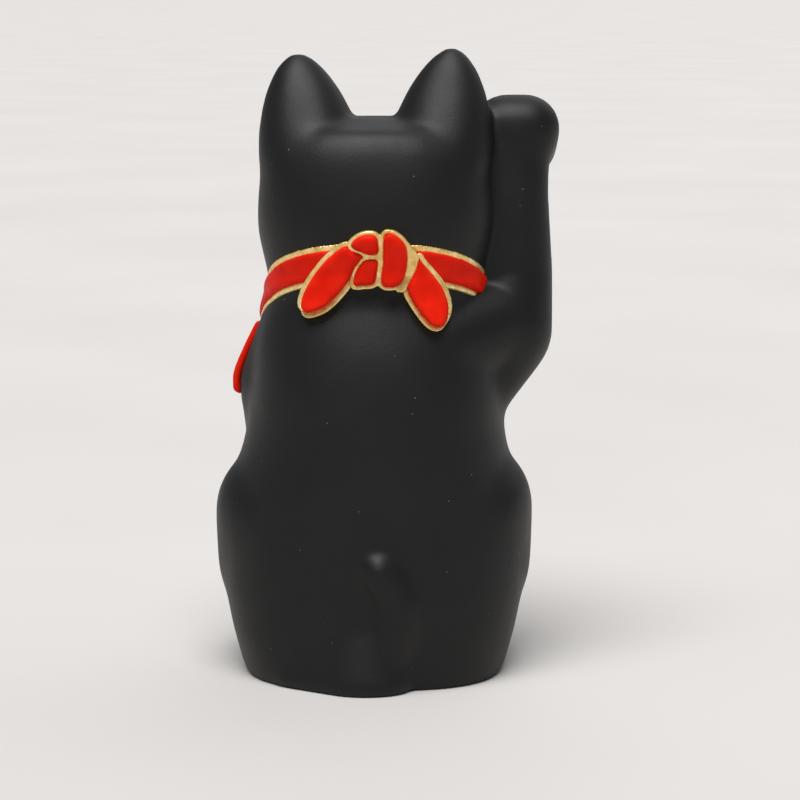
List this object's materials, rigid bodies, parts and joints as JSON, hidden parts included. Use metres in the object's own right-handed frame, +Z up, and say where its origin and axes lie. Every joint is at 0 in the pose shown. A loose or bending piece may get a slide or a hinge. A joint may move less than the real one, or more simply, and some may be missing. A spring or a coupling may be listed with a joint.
{
  "type": "beckoning cat figurine",
  "caption": "Matte black ceramic beckoning cat, seated upright with one foreleg raised beside its head, in a red and gold knotted collar and bib with a bell and an oval coin.",
  "frame": {"origin": "middle of the flat base, on the upright axis of the body", "axes": "+Z up, -Y the way the face looks, +Y towards the knot on the back of the neck, +X towards the cat's left, -X towards its raised foreleg"},
  "size_m": [0.1384, 0.1264, 0.2503],
  "materials": {
    "black_glaze": "matte black stoneware glaze",
    "red_enamel": "satin red enamel",
    "gold_enamel": "brushed gold enamel",
    "eye_paint": "satin golden yellow enamel",
    "pupil_paint": "satin black enamel"
  },
  "bodies": {
    "root": {"body_shell": "black_glaze", "raised_foreleg": "black_glaze", "lowered_foreleg": "black_glaze", "collar_band": "red_enamel", "collar_piping_upper": "gold_enamel", "collar_piping_lower": "gold_enamel", "knot_wrap": "red_enamel", "knot_upper_fold": "red_enamel", "knot_lower_fold": "red_enamel", "knot_piping": "gold_enamel", "knot_end_left": "red_enamel", "knot_end_right": "red_enamel", "knot_end_piping_left": "gold_enamel", "knot_end_piping_right": "gold_enamel", "bib": "red_enamel", "bell": "gold_enamel", "coin": "gold_enamel", "ear_lining_left": "red_enamel", "ear_lining_right": "red_enamel", "eye_left": "eye_paint", "eye_right": "eye_paint", "pupil_left": "pupil_paint", "pupil_right": "pupil_paint", "nose": "red_enamel"}
  },
  "joints": []
}
